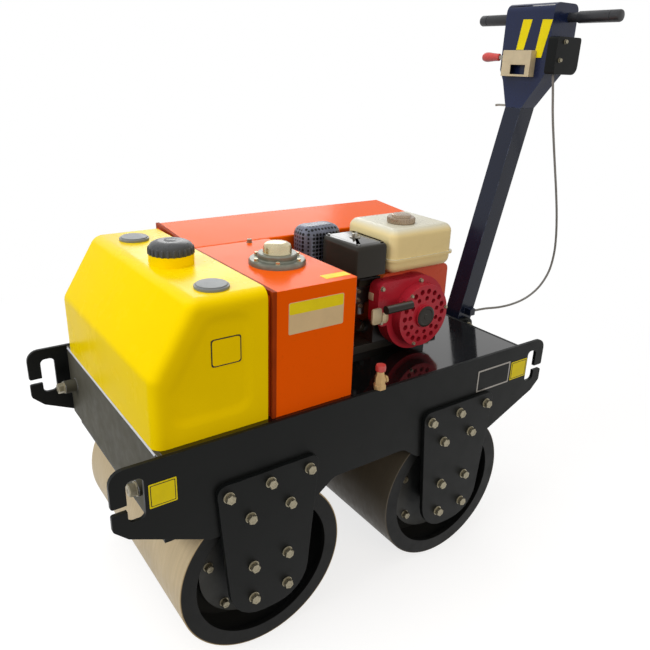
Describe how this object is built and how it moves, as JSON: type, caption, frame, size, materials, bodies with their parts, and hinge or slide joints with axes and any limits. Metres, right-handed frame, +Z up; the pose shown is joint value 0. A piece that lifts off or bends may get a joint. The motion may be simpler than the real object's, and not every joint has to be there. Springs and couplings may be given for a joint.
{
  "type": "vibratory roller",
  "caption": "Walk-behind double-drum vibratory roller: plate frame with lifting hooks, recessed steel drums, water and oil tanks, petrol engine and folding steering arm.",
  "frame": {"origin": "on the ground, under the middle of the whole length without the cable, midway across the drums", "axes": "+X forwards towards the water tank, +Y to the machine's left, +Z up"},
  "size_m": [1.6156, 0.676, 1.502],
  "materials": {
    "drum_steel": "satin",
    "frame_paint": "gloss",
    "yellow_plastic": "gloss",
    "black_plastic": "satin",
    "grey_plastic": "matte",
    "orange_paint": "gloss",
    "bright_metal": "polished",
    "engine_alloy": "cast",
    "engine_red": "gloss",
    "tank_ivory": "gloss",
    "cap_metal": "satin",
    "muffler_metal": "satin",
    "valve_brass": "satin",
    "arm_paint": "gloss",
    "grip_rubber": "matte",
    "lever_metal": "satin",
    "knob_red": "gloss",
    "cable_rubber": "satin"
  },
  "bodies": {
    "frame": {"side_plate_left": "frame_paint", "side_plate_right": "frame_paint", "front_cross_plate": "frame_paint", "rear_cross_plate": "frame_paint", "deck": "frame_paint", "front_bracket_left": "frame_paint", "front_bracket_right": "frame_paint", "rear_bracket_left": "frame_paint", "rear_bracket_right": "frame_paint", "front_scraper": "frame_paint", "rear_scraper": "frame_paint", "handle_bracket": "frame_paint", "water_tank": "yellow_plastic", "filler_cap": "black_plastic", "tank_plugs": "grey_plastic", "hydraulic_tank": "orange_paint", "breather_cap": "bright_metal", "belt_hood": "orange_paint", "engine_base": "frame_paint", "engine_block": "engine_alloy", "carburettor": "engine_alloy", "fan_cover": "engine_red", "recoil_starter": "engine_red", "starter_grip": "black_plastic", "fuel_tank": "tank_ivory", "fuel_cap": "cap_metal", "air_cleaner": "black_plastic", "muffler": "muffler_metal", "drain_valve": "valve_brass"},
    "front_drum": {"front_drum": "drum_steel"},
    "rear_drum": {"rear_drum": "drum_steel"},
    "handle": {"handle_arm": "arm_paint", "handle_head": "arm_paint", "grip_left": "grip_rubber", "grip_right": "grip_rubber", "control_box": "black_plastic", "lever_plate": "lever_metal", "drive_lever": "knob_red", "control_cable": "cable_rubber"}
  },
  "joints": [
    {"name": "front_drum_turn", "type": "hinge", "parent": "frame", "child": "front_drum", "pos_m": [0.41824, 0, 0.213], "axis": [0, 1, 0], "continuous": true},
    {"name": "rear_drum_turn", "type": "hinge", "parent": "frame", "child": "rear_drum", "pos_m": [-0.16676, 0, 0.213], "axis": [0, 1, 0], "continuous": true},
    {"name": "handle_tilt", "type": "hinge", "parent": "frame", "child": "handle", "pos_m": [-0.48626, 0, 0.55], "axis": [0, -1, 0], "range_deg": [0, 50]}
  ]
}
